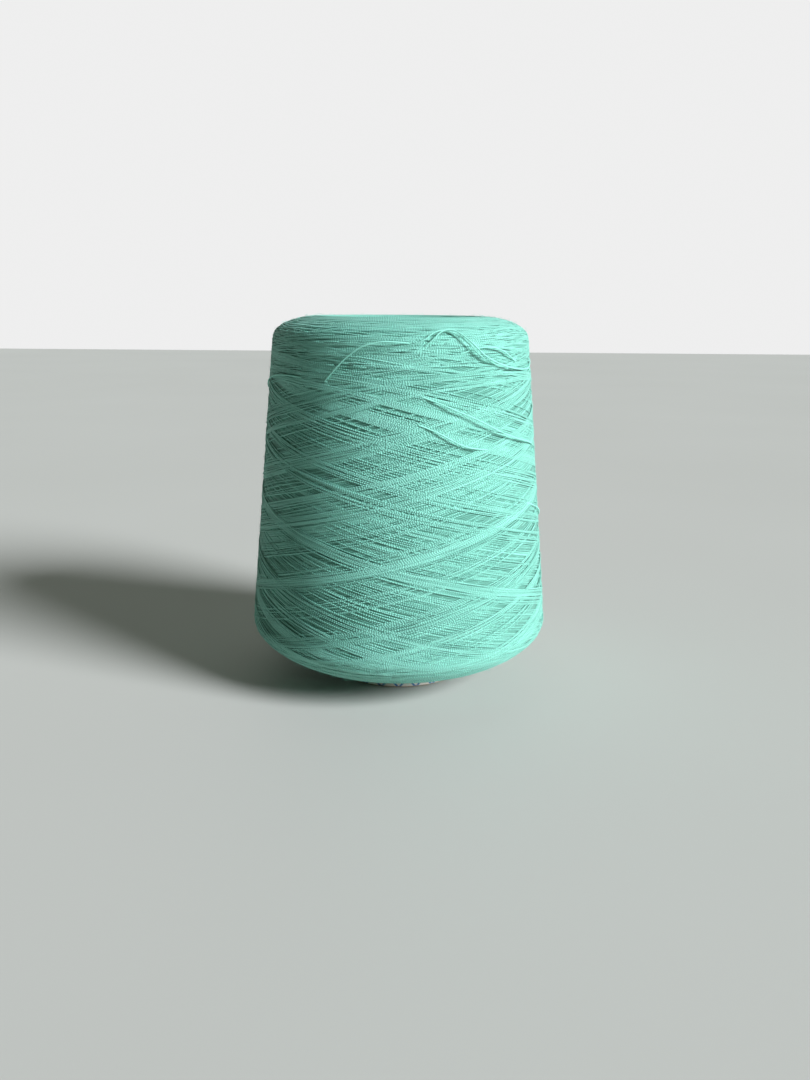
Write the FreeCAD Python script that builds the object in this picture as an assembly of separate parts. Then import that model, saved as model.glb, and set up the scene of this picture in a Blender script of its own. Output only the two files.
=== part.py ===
"""A cone of knitting yarn: a cross-wound package on a tapered paper cone.

Frame: millimetres, +Z up. The origin is the centre of the cone's base rim, which stands on
the table, and the cone's axis is +Z. The side with the slack strands faces -Y.
"""
import FreeCAD, Part
import math
import os

V = FreeCAD.Vector
ORIGIN, UP = V(0, 0, 0), V(0, 0, 1)

# ---- driving dimensions -------------------------------------------------------------------
# paper cone, the standard 5 degree 57 minute taper
CONE_LENGTH = 170.0
CONE_HALF_ANGLE = 5.95
BASE_RADIUS = 34.5
BOARD_WALL = 3.0
RIM_ROUNDING = 0.5
BORE_RADIUS = 13.3
BORE_LENGTH = 7.0
BORE_LEAD_IN = 7.0

# printed paper ply glued round the board
PAPER = 0.25
PAPER_START = 0.6
PAPER_END_BELOW_NOSE = 3.0

# yarn package
PACKAGE_FOOT = 8.0
FOOT_RADIUS = 44.2
FOOT_RISE = 1.8
BELLY_HEIGHT = 26.7
BELLY_RADIUS = 72.7
LOWER_POWER = 1.62
NECK_HEIGHT = 162.4
NECK_RADIUS = 59.8
CREST_HEIGHT = 172.0
CREST_RADIUS = 38.6
UPPER_POWER = 1.91
DISH_DEPTH = 9.0
SHOULDER_POINTS = 7

# slack strands of the same yarn, lying on the package
YARN = 0.7
CLEARANCE = 0.12
ARC_SHARE = 0.45

TAPER = math.tan(math.radians(CONE_HALF_ANGLE))

# Each point of a strand: degrees round the package from the front (-Y) towards +X, height,
# and how far it stands off the package. Chosen by hand.
STRANDS = {
    "slack_yarn_crown": [
        (-31, 145.6, 0.0), (-25.5, 150.9, 0.3), (-20.0, 156.4, 0.8), (-14.5, 160.4, 0.9),
        (-8.0, 162.3, 0.7), (-1.5, 162.4, 0.3), (4.0, 161.7, 0.0),
    ],
    "slack_yarn_loop": [
        (9.5, 160.4, 0.0), (12.8, 162.9, 0.6), (16.0, 166.5, 1.7), (21.0, 167.6, 2.2),
        (25.2, 164.9, 2.3), (29.5, 161.0, 2.4), (34.0, 156.8, 2.1), (40.0, 153.8, 1.7),
        (47.5, 151.5, 1.3), (56.0, 150.1, 1.0), (65.0, 149.6, 0.7), (74.0, 150.6, 0.4),
        (83.0, 152.8, 0.1),
    ],
    "slack_yarn_loop_twin": [
        (5.6, 161.2, 0.0), (9.8, 163.0, 0.4), (13.2, 166.1, 0.7), (18.4, 167.2, 0.8),
        (23.4, 165.2, 1.0), (28.0, 161.2, 1.3), (31.8, 157.2, 1.3), (37.0, 154.0, 0.7),
        (43.0, 152.6, 0.0),
    ],
    "slack_yarn_bow": [
        (25.0, 157.5, 0.0), (31.0, 159.6, 0.3), (38.0, 160.2, 0.8), (45.0, 158.7, 0.9),
        (51.0, 155.4, 0.5), (57.0, 153.0, 0.0),
    ],
    "slack_yarn_side": [
        (8.0, 140.5, 0.0), (15.0, 137.9, 0.5), (22.0, 134.4, 1.2), (29.0, 131.3, 1.7),
        (35.0, 128.0, 2.0), (41.5, 124.5, 1.9), (49.0, 121.6, 1.5), (57.0, 119.4, 1.0),
        (66.0, 116.9, 0.5), (74.5, 114.2, 0.1),
    ],
    "slack_yarn_short": [
        (7.0, 129.0, 0.0), (12.5, 126.9, 0.2), (18.0, 123.7, 0.7), (23.5, 120.2, 0.9),
        (29.5, 118.3, 0.6), (36.0, 117.4, 0.1),
    ],
    "slack_yarn_left": [
        (-97.5, 136.6, 0.1), (-88.5, 138.0, 0.5), (-79.5, 141.3, 0.9), (-70.5, 144.6, 0.9),
        (-61.5, 146.6, 0.6), (-52.0, 147.1, 0.3), (-43.0, 146.6, 0.1),
    ],
    "slack_yarn_right": [
        (60.0, 90.5, 0.1), (70.0, 86.9, 0.5), (80.0, 81.8, 1.0), (89.0, 77.2, 1.0),
        (98.5, 74.4, 0.5), (107.5, 72.8, 0.3),
    ],
}


# ---- geometry helpers ---------------------------------------------------------------------
def cone_radius(z):
    """Outside radius of the board cone at a height."""
    return BASE_RADIUS - z * TAPER


def rz(radius, height):
    """A point of an outline, in the XZ half plane."""
    return V(radius, 0, height)


def flank_slope():
    """Radius lost for each millimetre climbed on the package's straight flank."""
    return (BELLY_RADIUS - NECK_RADIUS) / (NECK_HEIGHT - BELLY_HEIGHT)


def lower_shoulder(turn):
    """Superellipse quarter from the foot (turn 0) to the belly (turn 90 degrees)."""
    wide, tall = BELLY_RADIUS - FOOT_RADIUS, BELLY_HEIGHT - PACKAGE_FOOT
    across = math.sin(turn) ** (2 / LOWER_POWER)
    down = max(math.cos(turn), 0.0) ** (2 / LOWER_POWER)
    return rz(FOOT_RADIUS + wide * across, BELLY_HEIGHT - tall * down)


def upper_shoulder(turn):
    """Superellipse quarter from the neck (turn 0) to the crest (turn 90 degrees)."""
    wide, tall = NECK_RADIUS - CREST_RADIUS, CREST_HEIGHT - NECK_HEIGHT
    across = max(math.cos(turn), 0.0) ** (2 / UPPER_POWER)
    up = math.sin(turn) ** (2 / UPPER_POWER)
    return rz(CREST_RADIUS + wide * across, NECK_HEIGHT + tall * up)


def package_radius(z):
    """Outside radius of the package at a height: shoulder, straight flank, shoulder."""
    if z > NECK_HEIGHT:
        rise = (z - NECK_HEIGHT) / (CREST_HEIGHT - NECK_HEIGHT)
        across = (1 - rise**UPPER_POWER) ** (1 / UPPER_POWER)
        return CREST_RADIUS + (NECK_RADIUS - CREST_RADIUS) * across
    if z < BELLY_HEIGHT:
        fall = (BELLY_HEIGHT - z) / (BELLY_HEIGHT - PACKAGE_FOOT)
        across = (1 - fall**LOWER_POWER) ** (1 / LOWER_POWER)
        return FOOT_RADIUS + (BELLY_RADIUS - FOOT_RADIUS) * across
    return BELLY_RADIUS - (z - BELLY_HEIGHT) * flank_slope()


def smooth(points, start, end):
    """One smooth curve through the points, leaving and arriving along two directions."""
    curve = Part.BSplineCurve()
    curve.interpolate(Points=points, InitialTangent=start, FinalTangent=end)
    return curve.toShape()


def straight(*points):
    """Straight edges from point to point."""
    return [Part.makeLine(a, b) for a, b in zip(points, points[1:])]


def arc(a, middle, b):
    """An arc through three points."""
    return Part.Arc(a, middle, b).toShape()


def turned(edges):
    """Revolve a closed outline about the axis."""
    outline = Part.Wire(edges)
    return Part.Solid(Part.Face(outline).revolve(ORIGIN, UP, 360).Shells[0])


# ---- pieces -------------------------------------------------------------------------------
def cone_core():
    """Board tube: tapered wall, rounded rim at the base, rolled nose with a short bore."""
    nose_radius = cone_radius(CONE_LENGTH)
    roll = (nose_radius - BORE_RADIUS) / 2
    roll_height = CONE_LENGTH - roll
    outer_top = rz(cone_radius(roll_height), roll_height)
    crown = rz((outer_top.x + BORE_RADIUS) / 2, CONE_LENGTH)
    bore_top = rz(BORE_RADIUS, roll_height)
    bore_foot = rz(BORE_RADIUS, roll_height - BORE_LENGTH)
    lead_height = roll_height - BORE_LENGTH - BORE_LEAD_IN
    lead_foot = rz(cone_radius(lead_height) - BOARD_WALL, lead_height)
    inner_foot = rz(cone_radius(RIM_ROUNDING) - BOARD_WALL, RIM_ROUNDING)
    rim_inner = rz(inner_foot.x + RIM_ROUNDING, 0)
    rim_outer = rz(BASE_RADIUS - RIM_ROUNDING, 0)
    outer_foot = rz(cone_radius(RIM_ROUNDING), RIM_ROUNDING)
    bevel = RIM_ROUNDING * (1 - math.sqrt(0.5))
    inner_bend = rz(inner_foot.x + bevel, bevel)
    outer_bend = rz(BASE_RADIUS - bevel, bevel)
    return turned(
        straight(rim_inner, rim_outer)
        + [arc(rim_outer, outer_bend, outer_foot)]
        + straight(outer_foot, outer_top)
        + [arc(outer_top, crown, bore_top)]
        + straight(bore_top, bore_foot, lead_foot, inner_foot)
        + [arc(inner_foot, inner_bend, rim_inner)]
    )


def printed_cover():
    """Printed paper ply on the outside of the board, a little short of both ends."""
    top = CONE_LENGTH - PAPER_END_BELOW_NOSE
    corners = [
        rz(cone_radius(PAPER_START), PAPER_START),
        rz(cone_radius(PAPER_START) + PAPER, PAPER_START),
        rz(cone_radius(top) + PAPER, top),
        rz(cone_radius(top), top),
    ]
    return turned(straight(*corners, corners[0]))


def wound_yarn():
    """The package: rounded foot, straight flank, rounded crest and a dished top end."""
    foot_inner_height = PACKAGE_FOOT + FOOT_RISE
    dish_height = CREST_HEIGHT - DISH_DEPTH
    foot_inner = rz(cone_radius(foot_inner_height) + PAPER, foot_inner_height)
    dish_inner = rz(cone_radius(dish_height) + PAPER, dish_height)
    up_flank = V(-flank_slope(), 0, 1)
    steps = [0.5 * math.pi * i / SHOULDER_POINTS for i in range(SHOULDER_POINTS + 1)]
    foot_curve = smooth([lower_shoulder(t) for t in steps], V(1, 0, 0), up_flank)
    crest_curve = smooth([upper_shoulder(t) for t in steps], up_flank, V(-1, 0, 0))
    crest, neck = upper_shoulder(steps[-1]), upper_shoulder(0)
    foot, belly = lower_shoulder(0), lower_shoulder(steps[-1])
    half_way = (crest + dish_inner) * 0.5
    dish_curve = smooth([crest, half_way, dish_inner], V(-1, 0, 0), V(-1, 0, 0))
    foot_face = smooth([foot_inner, foot], V(1, 0, -0.5), V(1, 0, 0))
    return turned(
        [foot_face, foot_curve]
        + straight(belly, neck)
        + [crest_curve, dish_curve]
        + straight(dish_inner, foot_inner)
    )


def on_package(degrees, height, stand_off):
    """A point of a strand's line that lies on the package or stands off it."""
    turn = math.radians(degrees)
    radius = package_radius(height) + YARN / 2 + CLEARANCE + stand_off
    return V(radius * math.sin(turn), -radius * math.cos(turn), height)


def strand(name, route):
    """Yarn laid along straight runs joined by tangent arcs, as large as the runs allow."""
    points = [on_package(*place) for place in route]
    edges, radii, here = [], [], points[0]
    for before, corner, after in zip(points, points[1:], points[2:]):
        back, ahead = before - corner, after - corner
        reach = ARC_SHARE * min(back.Length, ahead.Length)
        half_turn = (math.pi - back.getAngle(ahead)) / 2
        radii.append(reach / math.tan(half_turn))
        back.normalize()
        ahead.normalize()
        enter, leave = corner + back * reach, corner + ahead * reach
        inward = back + ahead
        inward.normalize()
        depth = radii[-1] * (1 / math.cos(half_turn) - 1)
        edges += [Part.makeLine(here, enter), arc(enter, corner + inward * depth, leave)]
        here = leave
    edges.append(Part.makeLine(here, points[-1]))
    path = Part.Wire(edges)
    section = Part.Wire([Part.makeCircle(YARN / 2, points[0], points[1] - points[0])])
    tube = path.makePipeShell([section], True, False)
    ideal = math.pi * (YARN / 2) ** 2 * path.Length
    runs = [(b - a).Length for a, b in zip(points, points[1:])]
    print(
        f"{name}: length {path.Length:.1f}, smallest radius {min(radii):.1f},"
        f" runs {min(runs):.1f} to {max(runs):.1f}, volume/ideal {tube.Volume / ideal:.4f}"
    )
    return tube


def main():
    os.makedirs("parts", exist_ok=True)
    pieces = {"cone_core": cone_core(), "printed_cover": printed_cover(), "wound_yarn": wound_yarn()}
    for name, route in STRANDS.items():
        pieces[name] = strand(name, route)
    for name, shape in pieces.items():
        box = shape.BoundBox
        print(
            f"{name}: valid {shape.isValid()}, volume {shape.Volume:.1f},"
            f" radius {box.XMax:.2f}, z {box.ZMin:.2f} to {box.ZMax:.2f}"
        )
        shape.exportStep(f"parts/{name}.step")


main()
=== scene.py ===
"""A cone of knitting yarn: one fine two-ply yarn wound crosswise on a printed paper cone.

The package is built the way it is wound. Yarn paths are laid one after another over a height
map of the package, each resting on the yarns already there, and every path that still shows
becomes a closed tube. The slack strands are twisted from the same yarn.
"""
import math

import bpy
import numpy as np
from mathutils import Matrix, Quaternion, Vector


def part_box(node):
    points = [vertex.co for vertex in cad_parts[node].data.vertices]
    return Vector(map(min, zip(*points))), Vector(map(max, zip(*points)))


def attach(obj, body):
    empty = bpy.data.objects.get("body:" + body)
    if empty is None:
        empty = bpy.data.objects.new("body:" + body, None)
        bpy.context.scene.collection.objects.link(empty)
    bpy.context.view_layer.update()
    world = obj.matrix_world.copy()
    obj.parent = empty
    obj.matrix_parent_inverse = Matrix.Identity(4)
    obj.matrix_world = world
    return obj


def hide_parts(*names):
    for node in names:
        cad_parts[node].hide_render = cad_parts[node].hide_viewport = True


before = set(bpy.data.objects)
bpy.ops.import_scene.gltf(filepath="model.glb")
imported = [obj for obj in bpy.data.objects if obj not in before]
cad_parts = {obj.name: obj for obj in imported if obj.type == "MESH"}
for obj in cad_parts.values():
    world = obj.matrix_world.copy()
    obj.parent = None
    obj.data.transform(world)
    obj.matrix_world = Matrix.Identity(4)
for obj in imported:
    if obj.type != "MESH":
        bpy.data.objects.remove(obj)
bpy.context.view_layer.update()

MM = 0.001
TURN = 2 * math.pi

# ---- the package's outline, in millimetres --------------------------------------------------
PACKAGE_LOW, PACKAGE_HIGH = (np.array(corner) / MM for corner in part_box("wound_yarn"))
COVER_LOW, COVER_HIGH = (np.array(corner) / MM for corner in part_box("printed_cover"))
BELLY_RADIUS, CREST_HEIGHT, FOOT_HEIGHT = PACKAGE_HIGH[0], PACKAGE_HIGH[2], PACKAGE_LOW[2]
FOOT_RADIUS = 44.2
FOOT_RISE = 1.8
BELLY_HEIGHT = 26.7
LOWER_POWER = 1.62
NECK_HEIGHT = 162.4
NECK_RADIUS = 59.8
CREST_RADIUS = 38.6
UPPER_POWER = 1.91
DISH_DEPTH = 9.0
CONE_TAPER = math.tan(math.radians(5.95))

# ---- the yarn, in millimetres ----------------------------------------------------------------
YARN = 0.7  # slack; wound under tension it is flatter
YARN_WIDE, YARN_TALL = 0.60, 0.50
BEAD = 1.05  # one crossing of the two plies
PLY_OFFSET, PLY_RADIUS, PLY_SIDES = 0.16, 0.33, 8  # shares of the yarn's thickness
FUZZ_COUNT, FUZZ_WIDE, FUZZ_ROOT = 4200, 0.045, -0.35

# ---- how it is wound, in millimetres and degrees ---------------------------------------------
SEED = 7
HELIX = 15.0
TURNROUND = 9.0  # how far from its end a traverse starts to bend
GOLDEN = 2.39996  # the golden angle in radians, which spreads the layers round
CROWN_TURNS, FOOT_TURNS, CROSSINGS = 560, 560, 680
WANDER_KNOT = 25  # samples between the places where a yarn's wander changes

# ---- how a yarn beds into the layers below, in millimetres or as shares ----------------------
SAMPLE = 1.0  # between the points of a laid yarn
CELL = 0.35  # of the height map
COLUMNS = 1200
BEARING = (-0.24, -0.08, 0.08, 0.24)  # across a yarn, where it rests on what is below
FOOTPRINT, YARN_EDGE = 0.3, 0.33  # half the width that raises the height map, and its rounding
LEVEL_REACH, LEVEL_EVERY = 4.0, 8  # blur of the mean level, and yarns between its updates
SQUEEZE_FROM, SQUEEZE = 0.05, 0.12
TENSION_PASSES = 25
BURIED = 0.12  # deeper than this under its neighbours, a yarn doesn't show
SURFACE, SURFACE_FOOT = -0.28, -0.55
RELIEF_WIDE, RELIEF_FINE, RELIEF_SHOULDER, RELIEF_REACH = 0.15, 0.42, 0.2, 3.0
SHOULDERS, FOOT_END = (20, 46, 165, 185), (20, 40)  # along the outline
UNDER_LAYERS = -0.85

# ---- meshes ----------------------------------------------------------------------------------
SEGMENT = 4.2  # millimetres between the rings of a tube
SIDES = 6
RINGS_PER_PIECE = 15500

# ---- slack strands: degrees from the front towards +X, height, stand-off, in millimetres ----
STRANDS = {
    "slack_yarn_crown": [
        (-31, 145.6, -0.9), (-25.5, 150.9, 1.0), (-20.0, 156.4, 1.6), (-14.5, 160.4, 1.8),
        (-8.0, 162.3, 1.8), (-1.5, 162.4, 1.5), (4.0, 161.7, -0.6),
    ],
    "slack_yarn_loop": [
        (9.5, 160.4, -0.9), (12.8, 162.9, 0.6), (16.0, 166.5, 1.7), (21.0, 167.6, 2.2),
        (25.2, 164.9, 2.3), (29.5, 161.0, 2.4), (34.0, 156.8, 2.1), (40.0, 153.8, 1.7),
        (47.5, 151.5, 1.3), (56.0, 150.1, 0.9), (65.0, 149.6, 0.4), (74.0, 150.6, -0.2),
        (83.0, 152.8, -0.9),
    ],
    "slack_yarn_loop_twin": [
        (5.6, 161.2, -0.9), (9.8, 163.0, 0.4), (13.2, 166.1, 0.7), (18.4, 167.2, 0.8),
        (23.4, 165.2, 1.0), (28.0, 161.2, 1.3), (31.8, 157.2, 1.3), (37.0, 154.0, 0.7),
        (43.0, 152.6, -0.9),
    ],
    "slack_yarn_bow": [
        (25.0, 157.5, -0.9), (31.0, 159.6, 0.3), (38.0, 160.2, 0.8), (45.0, 158.7, 0.9),
        (51.0, 155.4, 0.5), (57.0, 153.0, -0.9),
    ],
    "slack_yarn_side": [
        (8.0, 140.5, -0.9), (15.0, 137.9, 0.5), (22.0, 134.4, 1.2), (29.0, 131.3, 1.7),
        (35.0, 128.0, 2.0), (41.5, 124.5, 1.9), (49.0, 121.6, 1.5), (57.0, 119.4, 1.0),
        (66.0, 116.9, 0.5), (74.5, 114.2, -0.9),
    ],
    "slack_yarn_short": [
        (7.0, 129.0, -0.9), (12.5, 126.9, 0.2), (18.0, 123.7, 0.7), (23.5, 120.2, 0.9),
        (29.5, 118.3, 0.6), (36.0, 117.4, -0.9),
    ],
    "slack_yarn_left": [
        (-97.5, 136.6, -0.9), (-88.5, 138.0, -0.5), (-79.5, 141.3, 0.0), (-70.5, 144.6, 0.5),
        (-61.5, 146.6, 0.6), (-52.0, 147.1, 0.3), (-43.0, 146.6, -0.9),
    ],
    "slack_yarn_right": [
        (60.0, 90.5, -0.9), (70.0, 86.9, 0.4), (80.0, 81.8, 0.15), (89.0, 77.2, -0.3),
        (98.5, 74.4, -0.5), (107.5, 72.8, -0.9),
    ],
}


# ---- outline ---------------------------------------------------------------------------------
def package_outline():
    """Radius and height along the outline, evenly spaced from the foot at the paper, round the
    belly and the crest, to the bottom of the dish. The shoulders are superellipse quarters, the
    flank is straight, and the dish falls as 3t^2 - 2t^3."""
    t = np.linspace(0, math.pi / 2, 60)
    sine, cosine = np.sin(t), np.cos(t).clip(0)
    lower = np.c_[
        FOOT_RADIUS + (BELLY_RADIUS - FOOT_RADIUS) * sine ** (2 / LOWER_POWER),
        BELLY_HEIGHT - (BELLY_HEIGHT - FOOT_HEIGHT) * cosine ** (2 / LOWER_POWER),
    ]
    upper = np.c_[
        CREST_RADIUS + (NECK_RADIUS - CREST_RADIUS) * cosine ** (2 / UPPER_POWER),
        NECK_HEIGHT + (CREST_HEIGHT - NECK_HEIGHT) * sine ** (2 / UPPER_POWER),
    ]
    foot_inner, dish_inner = FOOT_HEIGHT + FOOT_RISE, CREST_HEIGHT - DISH_DEPTH
    s = np.linspace(0, 1, 30)[:, None]
    foot = np.c_[paper_radius(foot_inner) * (1 - s) + FOOT_RADIUS * s, foot_inner - FOOT_RISE * s]
    fall = s * s * (3 - 2 * s)
    dish = np.c_[CREST_RADIUS * (1 - s) + paper_radius(dish_inner) * s, CREST_HEIGHT - DISH_DEPTH * fall]
    points = np.concatenate([foot[:-1], lower, upper, dish[1:]])
    along = np.r_[0, np.cumsum(np.hypot(*np.diff(points, axis=0).T))]
    even = np.arange(0, along[-1], 0.25)
    radius, height = (np.interp(even, along, points[:, i]) for i in (0, 1))
    smooth = np.ones(13) / 13
    for line in (radius, height):
        line[6:-6] = np.convolve(line, smooth, "valid")
    return even, radius, height


def paper_radius(height):
    """Outside radius of the printed paper at a height."""
    return COVER_HIGH[0] - (height - COVER_LOW[2]) * CONE_TAPER


ALONG, RADIUS, HEIGHT = package_outline()
END = ALONG[-1]
OUT_R, OUT_Z = np.gradient(HEIGHT), -np.gradient(RADIUS)
OUT_LENGTH = np.hypot(OUT_R, OUT_Z)
OUT_R, OUT_Z = OUT_R / OUT_LENGTH, OUT_Z / OUT_LENGTH


def on_outline(u, line):
    """A value of the outline, such as its radius, at a distance along it."""
    return np.interp(u, ALONG, line)


def place(phi, u, lift):
    """Points at an angle round the package, a distance along its outline and a height off it."""
    radius = on_outline(u, RADIUS) + lift * on_outline(u, OUT_R)
    height = on_outline(u, HEIGHT) + lift * on_outline(u, OUT_Z)
    parts = np.broadcast_arrays(radius * np.sin(phi), -radius * np.cos(phi), height)
    return np.stack(parts, -1)


def outward_at(phi, u):
    """The outward direction of the surface at an angle and a distance along the outline."""
    flat = on_outline(u, OUT_R)
    return np.stack([flat * np.sin(phi), -flat * np.cos(phi), on_outline(u, OUT_Z)], -1)


# ---- winding ---------------------------------------------------------------------------------
class Package:
    """The height of the wound surface over its first layer, on a grid of angle and outline."""

    def __init__(self):
        self.rows, self.columns = int(END / CELL) + 1, COLUMNS
        self.top = np.zeros((self.rows, self.columns), np.float32)
        self.row_mean = self.top.mean(1)
        self.yarns = []

    def cells(self, phi, u):
        """Row and column of the height map at an angle and a distance along the outline."""
        column = np.floor(phi * (self.columns / TURN)).astype(int) % self.columns
        return np.clip((u / CELL).astype(int), 0, self.rows - 1), column

    def lay(self, family, phi, u):
        """Lay a yarn: it rests on the highest yarn under its width, high spots are squeezed
        towards the mean under the yarn, and tension bridges the gaps, because a straight
        stretch of one sample can only dip by sample^2 / 2 radii between its neighbours."""
        radius = on_outline(u, RADIUS)
        step_phi, step_u = np.gradient(phi) * radius, np.gradient(u)
        length = np.hypot(step_phi, step_u)
        tx, ty = step_phi / length, step_u / length
        support = np.full(len(u), -9.0)
        for across in BEARING:
            for ahead in (-0.4, 0, 0.4):
                spot = self.top[
                    self.cells(phi + (tx * ahead - ty * across) / radius, u + ty * ahead + tx * across)
                ]
                support = np.maximum(support, spot)
        if len(self.yarns) % LEVEL_EVERY == 0:
            self.row_mean = self.blurred(LEVEL_REACH).mean(1)
        level = self.row_mean[self.cells(phi, u)[0]] + SQUEEZE_FROM
        lift = np.where(support > level, level + (support - level) * SQUEEZE, support)
        for _ in range(TENSION_PASSES):
            chord = (lift[:-2] + lift[2:]) / 2 - SAMPLE**2 / (2 * NECK_RADIUS)
            lift[1:-1] = np.maximum(lift[1:-1], chord)
        fine, coarse = np.arange(0, len(u) - 1, 0.25), np.arange(len(u))
        fp, fu, fl, fr, fx, fy = (np.interp(fine, coarse, a) for a in (phi, u, lift, radius, tx, ty))
        for across in np.linspace(-FOOTPRINT, FOOTPRINT, 5):
            crown = YARN_TALL * (0.5 + 0.5 * math.sqrt(1 - (across / YARN_EDGE) ** 2))
            spots = self.cells(fp - fy * across / fr, fu + fx * across)
            np.maximum.at(self.top, spots, (fl + crown).astype(np.float32))
        self.yarns.append((family, phi, u, lift))

    def blurred(self, reach):
        """The height map averaged with a Gaussian of some millimetres' reach."""
        edge = int(3 * reach / CELL)
        padded = np.pad(self.top, ((edge, edge), (0, 0)), mode="edge")
        row = np.fft.fftfreq(padded.shape[0])[:, None]
        column = np.fft.rfftfreq(self.columns)[None]
        keep = np.exp(-2 * (math.pi * reach / CELL) ** 2 * (row**2 + column**2))
        return np.fft.irfft2(np.fft.rfft2(padded) * keep, padded.shape)[edge:-edge]

    def settle(self):
        """Press the wound yarns to their final relief: the top of the package averages SURFACE
        off the outline, broad swells keep RELIEF_WIDE of their height and single yarns keep
        RELIEF_FINE of theirs, so what lies over another yarn still lies over it."""
        near = self.blurred(RELIEF_REACH)
        swell = near - self.blurred(LEVEL_REACH).mean(1)[:, None]
        settled = []
        for family, phi, u, lift in self.yarns:
            spot = self.cells(phi, u)
            near_here, swell_here = (running_mean(surface[spot]) for surface in (near, swell))
            keep = np.interp(
                u, SHOULDERS, [RELIEF_SHOULDER, RELIEF_FINE, RELIEF_FINE, RELIEF_SHOULDER]
            )
            crown = np.interp(u, FOOT_END, [SURFACE_FOOT, SURFACE]) + RELIEF_WIDE * swell_here
            crown = crown + keep * (lift + YARN_TALL - near_here)
            settled.append((family, phi, u, lift, crown - YARN_TALL))
        self.yarns = settled

    def shows(self, phi, u, lift):
        """Whether each sample of a laid yarn is still at or near the surface."""
        radius = on_outline(u, RADIUS)
        seen = np.zeros(len(u), bool)
        for across in np.linspace(-FOOTPRINT, FOOTPRINT, 5):
            for ahead in (-0.5, 0.0, 0.5):
                spot = self.top[self.cells(phi + ahead / radius, u + across)]
                seen |= lift + YARN_TALL > spot - BURIED
        return running_mean(seen.astype(float), "constant") > 0.05


def running_mean(line, beyond="edge"):
    """The mean of each value and the four on either side of it."""
    return np.convolve(np.pad(line, 4, mode=beyond), np.ones(9) / 9, "valid")


def waver(rng, count, size):
    """Slow sideways wander: random values joined by straight lines, one each few samples."""
    knots = max(2, int(count / WANDER_KNOT)) + 2
    return np.interp(np.linspace(0, knots - 1, count), np.arange(knots), rng.normal(0, size, knots))


def turn_angles(u, path_length):
    """Angle round the package along a path, from its length over the local radius."""
    s = np.linspace(0, path_length, len(u))
    slope = np.gradient(u, s)
    rate = np.sqrt(np.clip(1 - slope**2, 0, 1)) / on_outline(u, RADIUS)
    return np.r_[0, np.cumsum((rate[1:] + rate[:-1]) / 2)] * (s[1] - s[0])


def traverse(start, end, angle):
    """One pass of the yarn along the package: a helix whose slope fades to nothing at each end,
    where the distance from the end grows as (s sin(angle))^2 / (4 turnround)."""
    rise, span = math.sin(math.radians(angle)), abs(end - start)
    bend, straight = 2 * TURNROUND / rise, (span - 2 * TURNROUND) / rise
    whole = 2 * bend + straight
    s = np.linspace(0, whole, int(whole / SAMPLE))
    climb = np.select(
        [s < bend, s < bend + straight],
        [(s * rise) ** 2 / (4 * TURNROUND), TURNROUND + (s - bend) * rise],
        span - ((whole - s) * rise) ** 2 / (4 * TURNROUND),
    )
    u = start + math.copysign(1, end - start) * climb
    return turn_angles(u, whole), u


def turnround(edge, half, angle, side):
    """The bend of an old traverse at its edge, with both feet falling away towards the flank."""
    rise = math.sin(math.radians(angle))
    s = np.linspace(-half, half, int(2 * half / SAMPLE))
    bend = 2 * TURNROUND / rise
    curved = (s * rise) ** 2 / (4 * TURNROUND)
    fall = np.where(np.abs(s) < bend, curved, TURNROUND + (np.abs(s) - bend) * rise)
    u = np.clip(edge + side * fall, 1, END - 1)
    return turn_angles(u, 2 * half), u


def lay_turnrounds(package, rng, family, count, first, last, side):
    """Old layers' bends, from the core outwards, spread round by the golden angle."""
    for i in range(count):
        share = ((i + 0.5) / count) ** 0.8
        edge = np.clip(first + (last - first) * share + rng.normal(0, 1.5), 1, END - 1)
        phi, u = turnround(edge, rng.uniform(60, 100), rng.uniform(12, 16), side)
        u = np.clip(u + waver(rng, len(u), 0.18), 0.8, END - 0.8)
        package.lay(family, phi + i * GOLDEN + rng.uniform(-0.3, 0.3), u)


def lay_crossings(package, rng, count):
    """The last layers. A few double traverses close a figure and the next set lands beside it,
    which makes ribbons of parallel yarns, until the figure changes."""
    laid, group, phi = 0, 0, 0.0
    while laid < count:
        figure, cycles = int(rng.integers(5, 9)), int(rng.integers(2, 6))
        apart = rng.choice([rng.uniform(1.45, 2.0), rng.uniform(2.3, 3.0)]) * YARN_WIDE
        spacing = apart / math.sin(math.radians(HELIX)) / NECK_RADIUS
        low, high = rng.uniform(33, 47), rng.uniform(166, 186)
        angle = rng.uniform(HELIX - 1.2, HELIX + 0.6)
        double = 2 * traverse(low, high, angle)[0][-1]
        closing = round(double * figure / TURN) * TURN + spacing * rng.choice([-1, 1])
        trim = (closing / figure - double) / 2
        group += 1
        phi = group * GOLDEN
        for i in range(2 * figure * cycles):
            ends = (low, high) if i % 2 == 0 else (high, low)
            angles, u = traverse(*(e + rng.normal(0, 0.5) for e in ends), angle)
            angles = phi + angles * ((double / 2 + trim + rng.normal(0, 0.009)) / angles[-1])
            package.lay("crossing_yarn", angles, u + waver(rng, len(u), 0.32))
            phi = angles[-1]
            laid += 1


def wind_package():
    """The whole package, from the old layers' bends at crown and foot to the last crossings."""
    rng = np.random.default_rng(SEED)
    package = Package()
    lay_turnrounds(package, rng, "crown_turns", CROWN_TURNS, 228, 172, -1)
    lay_turnrounds(package, rng, "foot_turns", FOOT_TURNS, 2, 48, 1)
    lay_crossings(package, rng, CROSSINGS)
    package.settle()
    return package, rng


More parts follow.
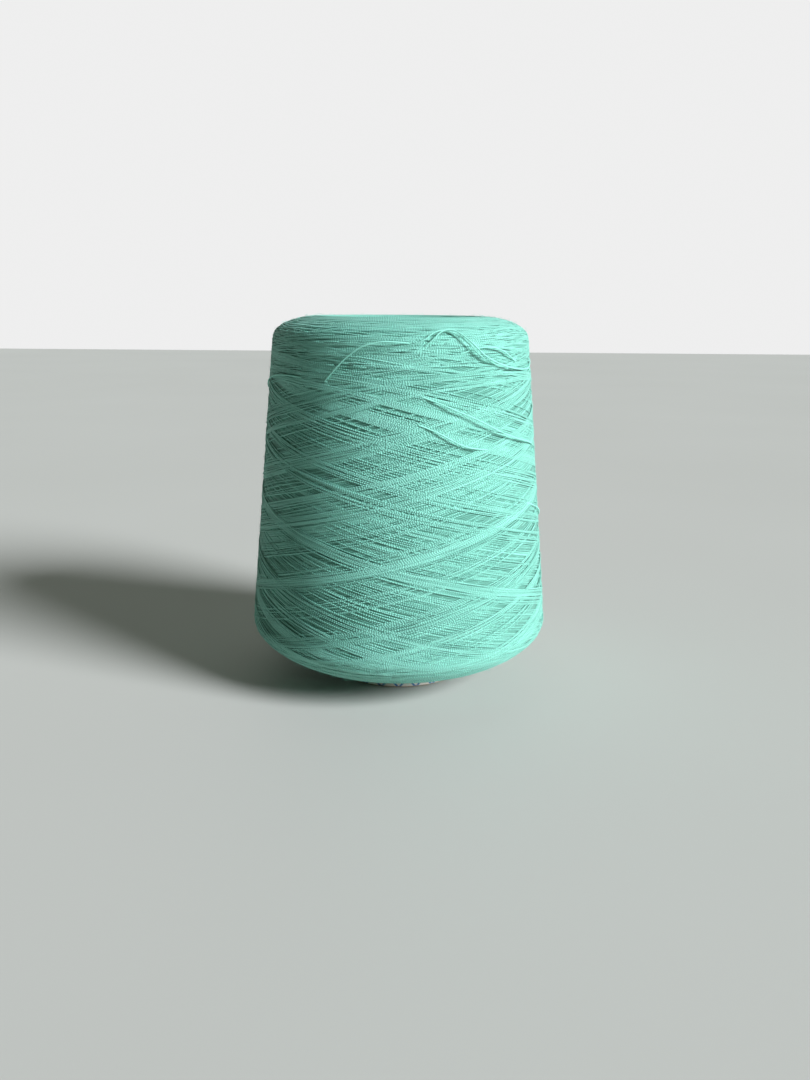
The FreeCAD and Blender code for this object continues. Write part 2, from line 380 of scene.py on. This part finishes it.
# ---- yarn as meshes --------------------------------------------------------------------------
def new_piece(name, points, faces, finish):
    """A mesh piece from points in millimetres and an array of four-cornered faces."""
    mesh = bpy.data.meshes.new(name)
    mesh.vertices.add(len(points))
    mesh.vertices.foreach_set("co", (points * MM).astype(np.float32).ravel())
    mesh.loops.add(faces.size)
    mesh.loops.foreach_set("vertex_index", faces.ravel().astype(np.int32))
    mesh.polygons.add(len(faces))
    mesh.polygons.foreach_set("loop_start", np.arange(0, faces.size, 4, dtype=np.int32))
    mesh.polygons.foreach_set("use_smooth", np.ones(len(faces), bool))
    mesh.update(calc_edges=True)
    mesh.materials.append(finish)
    piece = bpy.data.objects.new(name, mesh)
    bpy.context.collection.objects.link(piece)
    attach(piece, "root")
    return piece


def add_maps(piece, lay, sheet):
    """Two maps, each a pair for every face corner: Lay is the distance along the yarn in metres
    and the share of the way round it, and OFBake lays every face flat with no overlap."""
    for name, pairs in (("Lay", lay), ("OFBake", sheet)):
        piece.data.uv_layers.new(name=name).data.foreach_set("uv", pairs.astype(np.float32).ravel())


def tube_rings(centres, outward, wide, tall):
    """Rings round a path: an ellipse across it, its tall axis kept on the outward direction."""
    along = np.gradient(centres, axis=0)
    side = np.cross(along, outward)
    side /= np.linalg.norm(side, axis=1, keepdims=True)
    up = np.cross(side, along)
    up /= np.linalg.norm(up, axis=1, keepdims=True)
    angle = np.arange(SIDES) * TURN / SIDES
    ring = np.cos(angle)[None, :, None] * side[:, None] * (wide / 2)
    ring = ring + np.sin(angle)[None, :, None] * up[:, None] * (tall / 2)
    return centres[:, None] + ring


def visible_runs(package, yarn):
    """The stretches of a laid yarn that still show, as slices of its samples."""
    _, phi, u, lift, _ = yarn
    shows = np.r_[False, package.shows(phi, u, lift), False]
    starts, ends = np.flatnonzero(shows[1:] & ~shows[:-1]), np.flatnonzero(~shows[1:] & shows[:-1])
    return [(a, b) for a, b in zip(starts, ends) if b - a > 6]


def build_windings(package, rng, finish):
    """Every visible run of yarn as a closed tube, gathered into pieces of a size to export."""
    batches = {}
    for yarn in package.yarns:
        family, phi, u, _, pressed = yarn
        tone = rng.normal(0, 1)
        for a, b in visible_runs(package, yarn):
            count = max(3, round((b - a - 1) * SAMPLE / SEGMENT) + 1)
            at = np.linspace(a, b - 1, count)
            p, w, h = (np.interp(at, np.arange(len(u)), line) for line in (phi, u, pressed))
            centres = place(p, w, h + YARN_TALL / 2)
            batches.setdefault(family, []).append((centres, outward_at(p, w), at * SAMPLE, tone))
    for family, runs in batches.items():
        total = sum(len(r[0]) for r in runs)
        parts = math.ceil(total / RINGS_PER_PIECE)
        marks = np.cumsum([len(r[0]) for r in runs]) * parts / total
        for part in range(parts):
            chosen = [r for r, m in zip(runs, marks) if part < m <= part + 1]
            winding_piece(f"{family}_{part + 1}", chosen, finish)


def winding_piece(name, runs, finish, wide=YARN_WIDE, tall=YARN_TALL):
    """One mesh of many tubes: side faces from ring to ring, and each end closed by two faces."""
    rings = np.concatenate([tube_rings(c, o, wide, tall) for c, o, _, _ in runs])
    count = np.array([len(r[0]) for r in runs])
    owner = np.repeat(np.arange(len(runs)), count)
    joined = np.flatnonzero(owner[1:] == owner[:-1])
    side = np.arange(SIDES)
    this, after = joined[:, None] * SIDES + side, joined[:, None] * SIDES + (side + 1) % SIDES
    walls = np.stack([this, this + SIDES, after + SIDES, after], -1).reshape(-1, 4)
    last = np.cumsum(count) - 1
    first = last - count + 1
    caps = np.concatenate(
        [
            first[:, None] * SIDES + np.array([0, 1, 2, 3]),
            first[:, None] * SIDES + np.array([0, 3, 4, 5]),
            last[:, None] * SIDES + np.array([3, 2, 1, 0]),
            last[:, None] * SIDES + np.array([5, 4, 3, 0]),
        ]
    )
    faces = np.concatenate([walls, caps])
    piece = new_piece(name, rings.reshape(-1, 3), faces, finish)
    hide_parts("wound_yarn")
    distance = np.concatenate([r[2] for r in runs]) * MM
    stretch = np.stack([joined, joined + 1, joined + 1, joined], -1)[:, None].repeat(SIDES, 1)
    around = np.stack([side, side, side + 1, side + 1], -1)[None].repeat(len(joined), 0) / SIDES
    across = math.ceil(math.sqrt(len(joined) / 2.4))
    down = math.ceil(len(joined) / across) + 1
    cell = np.arange(len(joined))[:, None, None]
    column = (cell % across + np.array([0, 1, 1, 0])) / across
    row = (cell // across + around) / down
    ends = np.full((caps.size, 2), [0, 1 - 0.5 / down])
    lay = np.concatenate([np.stack([distance[stretch], around], -1).reshape(-1, 2), ends * 0])
    sheet = np.concatenate([np.stack([column.repeat(SIDES, 1), row], -1).reshape(-1, 2), ends])
    add_maps(piece, lay, sheet)
    tones = np.repeat([r[3] for r in runs], count).repeat(SIDES).astype(np.float32)
    piece.data.attributes.new("tone", "FLOAT", "POINT").data.foreach_set("value", tones)


def build_fuzz(rng, finish):
    """Short stray fibres: each leaves the surface at an angle and bends over with t^2."""
    runs = []
    t = np.linspace(0, 1, 4)
    for _ in range(FUZZ_COUNT):
        phi, u = rng.uniform(0, TURN), rng.uniform(6, END - 8)
        heading, length, rise = rng.uniform(0, TURN), rng.uniform(0.9, 3.2), rng.uniform(0.25, 1.1)
        curl = rng.normal(0, 0.5)
        turned = heading + curl * t
        u_line = u + length * t * np.sin(turned)
        phi_line = phi + length * t * np.cos(turned) / on_outline(u, RADIUS)
        lift = FUZZ_ROOT + rise * (1.6 * t - 0.6 * t**2)
        centres = place(phi_line, u_line, lift)
        outward = outward_at(phi_line, u_line)
        runs.append((centres, outward, length * t, rng.normal(0, 1)))
    winding_piece("stray_fibres", runs, finish, FUZZ_WIDE, FUZZ_WIDE)


def package_body(finish):
    """The layers under the visible yarn: the outline turned round, a little way in, and closed
    against the paper."""
    u = np.linspace(0, END, 240)
    columns = 192
    phi = np.arange(columns) * TURN / columns
    shell = place(phi[None], u[:, None], UNDER_LAYERS)
    shell[0, :, :2] *= paper_radius(shell[0, 0, 2]) / np.hypot(*shell[0, 0, :2])
    shell[-1, :, :2] *= paper_radius(shell[-1, 0, 2]) / np.hypot(*shell[-1, 0, :2])
    rows = len(u)
    row, column = np.arange(rows)[:, None], np.arange(columns)[None]
    this = row * columns + column
    right = row * columns + (column + 1) % columns
    below = np.roll(this, -1, 0)
    below_right = np.roll(right, -1, 0)
    faces = np.stack([this, right, below_right, below], -1).reshape(-1, 4)
    piece = new_piece("under_layers", shell.reshape(-1, 3), faces, finish)
    corner_row = np.stack([row, row, row + 1, row + 1], -1).repeat(columns, 1)
    corner_column = np.stack([column, column + 1, column + 1, column], -1).repeat(rows, 0)
    sheet = np.stack([corner_column / columns, corner_row / rows], -1).reshape(-1, 2)
    add_maps(piece, sheet, sheet)
    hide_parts("wound_yarn")


# ---- finishes --------------------------------------------------------------------------------
class Wire:
    """One output socket. Arithmetic on it adds Math nodes to its tree."""

    def __init__(self, tree, output):
        self.tree, self.output = tree, output

    def node(self, kind, settings=None, inputs=None, out=0):
        """Any node: its settings first, then the values or links of its inputs."""
        made = self.tree.nodes.new(kind)
        for key, value in (settings or {}).items():
            setattr(made, key, value)
        for key, value in (inputs or {}).items():
            if isinstance(value, Wire):
                self.tree.links.new(value.output, made.inputs[key])
            else:
                made.inputs[key].default_value = value
        return Wire(self.tree, made.outputs[out])

    def math(self, operation, *values):
        """A Math node on this output and the values."""
        return self.node("ShaderNodeMath", {"operation": operation}, dict(enumerate((self, *values))))

    def __add__(self, other):
        return self.math("ADD", other)

    def __sub__(self, other):
        return self.math("SUBTRACT", other)

    def __rsub__(self, other):
        return self.math("MULTIPLY", -1.0) + other

    def __mul__(self, other):
        return self.math("MULTIPLY", other)

    def __truediv__(self, other):
        return self.math("DIVIDE", other)

    __radd__, __rmul__ = __add__, __mul__

    def wave(self):
        """A smooth wave from 0 to 1 with a period of 1."""
        return (self * TURN).math("COSINE") * 0.5 + 0.5

    def soft_step(self, low, high):
        """0 below low, 1 above high."""
        inputs = {"Value": self, "From Min": low, "From Max": high}
        return self.node("ShaderNodeMapRange", {"interpolation_type": "SMOOTHSTEP"}, inputs)

    def tint(self, dark, light):
        """Mix from one colour to another by this factor."""
        inputs = {"Factor": self, 6: colour(dark), 7: colour(light)}
        return self.node("ShaderNodeMix", {"data_type": "RGBA"}, inputs, out=2)


def colour(value):
    """A colour for a socket: a Wire as it is, or three numbers with full alpha."""
    return value if isinstance(value, Wire) else (*value, 1.0)


def new_finish(name, **constants):
    """A material with one Principled shader and its constants. Returns it, a Wire that holds
    the object coordinates, and a function that links what varies."""
    finish = bpy.data.materials.new(name)
    finish.use_nodes = True
    tree = finish.node_tree
    shader = next(n for n in tree.nodes if n.type == "BSDF_PRINCIPLED")
    for key, value in constants.items():
        shader.inputs[key.replace("_", " ")].default_value = value
    coordinates = Wire(tree, tree.nodes.new("ShaderNodeTexCoord").outputs["Object"])

    def feed(**links):
        for key, wire in links.items():
            tree.links.new(wire.output, shader.inputs[key.replace("_", " ")])

    return finish, coordinates, feed


def noise(place_at, scale, detail=2.0, roughness=0.5):
    """Smooth noise, with its scale in features for each metre when it reads coordinates."""
    inputs = {"Vector": place_at, "Scale": scale, "Detail": detail, "Roughness": roughness}
    return place_at.node("ShaderNodeTexNoise", None, inputs)


def bump(height, strength, distance):
    """A normal bent by a height, whose full range stands for a distance in metres."""
    inputs = {"Height": height, "Strength": strength, "Distance": distance}
    return height.node("ShaderNodeBump", None, inputs)


LATTICE_ROUND, LATTICE_ROW = 26, 8.4  # crosses round the paper, and millimetres between rows
BOARD_PLY, BOARD_SEAM = 0.5, 46  # millimetres of one ply, and between the turns of its seam
STRIPE_RADIUS, BOARD_RADIUS = 62, 30  # millimetres, where a pattern wraps round at its true size
YARN_DARK, YARN_LIGHT = (0.066, 0.26, 0.19), (0.31, 0.76, 0.625)


def yarn_finish(name, bead_depth):
    """Two-ply yarn: beads where the plies cross, fibres along them, and a soft sheen. Its colour has
    painted shade in the grooves between the beads and on each yarn's flanks, and a small bead_depth
    paints it lighter overall.
    """
    finish, place_at, feed = new_finish(
        name,
        Sheen_Weight=0.22,
        Sheen_Roughness=0.45,
        Sheen_Tint=(0.75, 1.0, 0.95, 1.0),
        Specular_IOR_Level=0.35,
    )
    lay = place_at.node("ShaderNodeUVMap", {"uv_map": "Lay"})
    along, around = (lay.node("ShaderNodeSeparateXYZ", None, {0: lay}, out=i) for i in (0, 1))
    tone = place_at.node("ShaderNodeAttribute", {"attribute_name": "tone"}, None, out=2)
    drift = lay.node("ShaderNodeCombineXYZ", None, {0: along * 140.0, 1: tone * 7.0})
    twist = along / (BEAD * MM) + around + noise(drift, 1.0) * 2.5
    # painted shade: darker in the grooves between the plies' beads, lighter on the beads; the (1 -
    # bead_depth) share paints shallow-bead yarn lighter overall
    bead = twist.wave() * bead_depth + (1 - bead_depth) * 0.95
    spread = lay.node("ShaderNodeCombineXYZ", None, {0: along * 900.0, 1: around * 3.0, 2: tone * 7.0})
    fibres = noise(spread, 1.0, 3.0, 0.6)
    patches = noise(place_at, 90.0, 2.0)
    # painted shade: each yarn's colour darker on its flanks, where neighbours shade it, and lighter on
    # its top
    crown = (around - 0.25).wave() * bead_depth + (1 - bead_depth)
    shade = bead * 0.72 + fibres * 0.4 + patches * 0.22 + tone * 0.11 + crown * 0.5 - 0.6
    feed(
        Base_Color=shade.soft_step(-0.05, 1.05).tint(YARN_DARK, YARN_LIGHT),
        Roughness=fibres * 0.2 + 0.48,
        Normal=bump(bead * 0.8 + fibres * 0.5, 1.0, 0.00022),
    )
    return finish


def under_finish():
    """Deeper layers: fine stripes of yarn both ways, with painted shade in between, in colours darker
    than the wound yarn's as painted shade for their depth.
    """
    finish, place_at, feed = new_finish("under_layers_yarn", Sheen_Weight=0.2, Specular_IOR_Level=0.3)
    x, y, z = (place_at.node("ShaderNodeSeparateXYZ", None, {0: place_at}, out=i) for i in range(3))
    arc = x.math("ARCTAN2", y) * (STRIPE_RADIUS * MM)
    slope = math.tan(math.radians(HELIX))
    pitch = YARN * MM / math.cos(math.radians(HELIX))
    rising = ((z - arc * slope) / pitch).wave()
    falling = ((z + arc * slope) / pitch).wave()
    fibres = noise(place_at, 2200.0, 2.0)
    over = noise(place_at, 260.0, 1.0).soft_step(0.45, 0.55)
    ridge = rising * over + falling * (1 - over)
    shade = ridge * 0.5 + fibres * 0.35
    feed(
        # painted shade: darker than the wound yarn because these layers lie in shade, and darker still
        # between the stripes
        Base_Color=shade.soft_step(0.0, 1.0).tint((0.05, 0.2, 0.145), (0.19, 0.52, 0.41)),
        Roughness=fibres * 0.2 + 0.6,
        Normal=bump(ridge, 0.8, 0.0003),
    )
    return finish


def paper_finish():
    """Cream paper with a printed lattice of blue crosses, and fine fibres."""
    finish, place_at, feed = new_finish("printed_paper", Specular_IOR_Level=0.35)
    x, y, z = (place_at.node("ShaderNodeSeparateXYZ", None, {0: place_at}, out=i) for i in range(3))
    turns = x.math("ARCTAN2", y) * (LATTICE_ROUND / TURN)
    rows = z / (LATTICE_ROW * MM)
    wobble = noise(place_at, 700.0, 2.0) * 0.06
    rising = (turns + rows + wobble).wave()
    falling = (turns - rows + wobble).wave()
    ink = rising.math("MAXIMUM", falling).soft_step(0.91, 0.96)
    mottle = noise(place_at, 2600.0, 3.0)
    wear = noise(place_at, 420.0, 3.0).soft_step(0.35, 0.6)
    paper = mottle.tint((0.66, 0.58, 0.50), (0.86, 0.79, 0.71))
    inked = (ink * (wear * 0.25 + 0.75)).tint(paper, (0.045, 0.16, 0.36))
    feed(Base_Color=inked, Roughness=mottle * 0.2 + 0.55, Normal=bump(mottle, 0.3, 0.0001))
    return finish


def board_finish():
    """Kraft board: long brown fibres, and the edges of its plies on the rim."""
    finish, place_at, feed = new_finish("kraft_board", Specular_IOR_Level=0.25)
    x, y, z = (place_at.node("ShaderNodeSeparateXYZ", None, {0: place_at}, out=i) for i in range(3))
    radius = (x * x + y * y).math("SQRT")
    arc = x.math("ARCTAN2", y) * (BOARD_RADIUS * MM)
    fibres = x.node("ShaderNodeCombineXYZ", None, {0: arc * 700.0, 1: z * 1600.0, 2: radius * 900.0})
    grain = noise(fibres, 1.0, 5.0)
    specks = noise(place_at, 1900.0, 3.0).soft_step(0.62, 0.72)
    plies = ((radius + z * CONE_TAPER) / (BOARD_PLY * MM)).wave()
    seam = ((z * 0.9 + arc) / (BOARD_SEAM * MM)).wave().soft_step(0.985, 0.998)
    shade = grain * 0.8 + plies * 0.08 - seam * 0.22
    base = shade.soft_step(0.1, 0.9).tint((0.31, 0.215, 0.13), (0.46, 0.335, 0.215))
    feed(
        Base_Color=(specks * 0.5).tint(base, (0.13, 0.08, 0.045)),
        Roughness=grain * 0.2 + 0.7,
        Normal=bump(grain * 0.7 + plies * 0.25, 0.4, 0.0002),
    )
    return finish


# ---- slack strands ---------------------------------------------------------------------------
def package_radius(height):
    """Outside radius of the package at a height, on the outside of its outline."""
    outside = slice(HEIGHT.argmin(), HEIGHT.argmax())
    return float(np.interp(height, HEIGHT[outside], RADIUS[outside]))


def strand_route(route):
    """Control points of a strand in metres, from its list of places on the package."""
    points = []
    for degrees, height, stand_off in route:
        radius = package_radius(height) + YARN / 2 + 0.12 + stand_off
        turn = math.radians(degrees)
        points.append((radius * math.sin(turn) * MM, -radius * math.cos(turn) * MM, height * MM))
    return points


def spline_points(name, points):
    """Points along one smooth NURBS spline with the route as its control points."""
    line = bpy.data.curves.new(name, "CURVE")
    line.dimensions = "3D"
    line.resolution_u = 24
    spline = line.splines.new("NURBS")
    spline.points.add(len(points) - 1)
    spline.points.foreach_set("co", np.c_[points, np.ones(len(points))].ravel())
    spline.order_u = 3
    spline.use_endpoint_u = True
    carrier = bpy.data.objects.new(name, line)
    mesh = bpy.data.meshes.new_from_object(carrier)
    found = np.empty(len(mesh.vertices) * 3)
    mesh.vertices.foreach_get("co", found)
    bpy.data.objects.remove(carrier)
    bpy.data.meshes.remove(mesh)
    return found.reshape(-1, 3)


def twisted_strand(name, route, finish):
    """Two plies twisted round each other: each is a tube whose centre circles the route once in
    every two beads, half a turn from the other."""
    path = spline_points(name, strand_route(route)) / MM
    along = np.gradient(path, axis=0)
    along /= np.linalg.norm(along, axis=1, keepdims=True)
    side = np.cross(along, [0, 0, 1])
    side /= np.linalg.norm(side, axis=1, keepdims=True)
    up = np.cross(side, along)
    distance = np.r_[0, np.cumsum(np.linalg.norm(np.diff(path, axis=0), axis=1))]
    points, faces = [], []
    sides = PLY_SIDES
    for ply in (0, 1):
        turn = distance * (math.pi / BEAD) + ply * math.pi
        ply_out = np.cos(turn)[:, None] * side + np.sin(turn)[:, None] * up
        centre = path + ply_out * (PLY_OFFSET * YARN)
        angle = np.arange(sides) * TURN / sides
        ring = np.cos(angle)[None, :, None] * side[:, None] + np.sin(angle)[None, :, None] * up[:, None]
        rings = centre[:, None] + ring * (PLY_RADIUS * YARN)
        rings[0], rings[-1] = centre[0], centre[-1]
        start = len(path) * sides * ply
        row = np.arange(len(path) - 1)[:, None] * sides
        column = np.arange(sides)[None]
        this, after = start + row + column, start + row + (column + 1) % sides
        faces.append(np.stack([this, this + sides, after + sides, after], -1).reshape(-1, 4))
        points.append(rings.reshape(-1, 3))
    points, faces = np.concatenate(points), np.concatenate(faces)
    piece = new_piece(name + "_strand", points, faces, finish)
    ring = (faces % (len(path) * sides)) // sides
    round_share = (np.arange(len(faces)) % sides)[:, None] + np.array([0, 0, 1, 1])
    ply_row = (faces // (len(path) * sides)) * sides
    lay = np.stack([distance[ring] * MM, round_share / sides], -1).reshape(-1, 2)
    sheet = np.stack([ring / len(path), (ply_row + round_share) / (2 * sides)], -1).reshape(-1, 2)
    add_maps(piece, lay, sheet)
    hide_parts(name)


# ---- stage -----------------------------------------------------------------------------------
FLOOR_SIZE, FLOOR_DROP = 6, -0.0001  # metres; just clear of the cone's foot rim
CAMERA_PLACE, CAMERA_DOWN, CAMERA_ROLL = (0.00277, -0.4322, 0.1778), 14.79, 0.44
SUN_FROM, SUN_SOFTNESS, SUN_STRENGTH, SUN_TINT = (61, 27), 22, 6.3, (0.95, 1.0, 1.06)


def build_stage():
    """Pale floor, a soft light from the right, a dim room that is brighter behind, and the
    camera."""
    bpy.ops.mesh.primitive_plane_add(size=FLOOR_SIZE)
    floor = bpy.context.object
    floor.name = "floor"
    finish, place_at, feed = new_finish("pale_floor", Roughness=0.6)
    feed(Base_Color=noise(place_at, 3.0).tint((0.51, 0.50, 0.465), (0.55, 0.54, 0.505)))
    floor.data.materials.append(finish)
    floor.location.z = FLOOR_DROP

    world = bpy.data.worlds.new("room")
    bpy.context.scene.world = world
    world.use_nodes = True
    tree = world.node_tree
    seen = Wire(tree, tree.nodes.new("ShaderNodeLightPath").outputs["Is Camera Ray"])
    direction = Wire(tree, tree.nodes.new("ShaderNodeTexCoord").outputs["Generated"])
    behind = direction.node("ShaderNodeSeparateXYZ", None, {0: direction}, out=1)
    glow = behind.soft_step(0.0, 0.9).tint((0.029, 0.04, 0.027), (0.50, 0.54, 0.50))
    tree.links.new(seen.tint(glow, (0.86, 0.86, 0.86)).output, tree.nodes["Background"].inputs["Color"])

    add_sun("window", SUN_FROM, SUN_SOFTNESS, SUN_STRENGTH, SUN_TINT)

    camera_data = bpy.data.cameras.new("camera")
    camera_data.lens = 30.0
    camera_data.sensor_width = 36.0
    camera = bpy.data.objects.new("camera", camera_data)
    bpy.context.collection.objects.link(camera)
    camera.location = CAMERA_PLACE
    camera.rotation_mode = "QUATERNION"
    tilt = Quaternion((1, 0, 0), math.radians(90 - CAMERA_DOWN))
    camera.rotation_quaternion = tilt @ Quaternion((0, 0, 1), math.radians(CAMERA_ROLL))
    bpy.context.scene.camera = camera
    bpy.context.scene.view_settings.view_transform = "Standard"


def add_sun(name, direction, softness, strength, tint):
    """An even soft light from degrees round and up, as wide as its softness in degrees."""
    azimuth, elevation = (math.radians(d) for d in direction)
    flat = math.cos(elevation)
    away = Vector((flat * math.sin(azimuth), -flat * math.cos(azimuth), math.sin(elevation)))
    data = bpy.data.lights.new(name, "SUN")
    data.energy, data.color, data.angle = strength, tint, math.radians(softness)
    light = bpy.data.objects.new(name, data)
    bpy.context.collection.objects.link(light)
    light.rotation_euler = away.to_track_quat("Z", "Y").to_euler()


def main():
    """Stage, slack strands, wound yarn, and the finishes of the two paper parts."""
    build_stage()
    # painted light: with a small bead depth this copy of the yarn is coloured lighter than the wound
    # one, to offset the shade on the round slack strands and stray fibres
    slack = yarn_finish("slack_two_ply_yarn", 0.1)
    for name, route in STRANDS.items():
        twisted_strand(name, route, slack)
    package, rng = wind_package()
    wound = yarn_finish("wound_two_ply_yarn", 1.0)
    build_windings(package, rng, wound)
    build_fuzz(rng, slack)
    package_body(under_finish())
    for name, finish in (("printed_cover", paper_finish()), ("cone_core", board_finish())):
        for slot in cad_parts[name].material_slots:
            slot.material = finish


main()
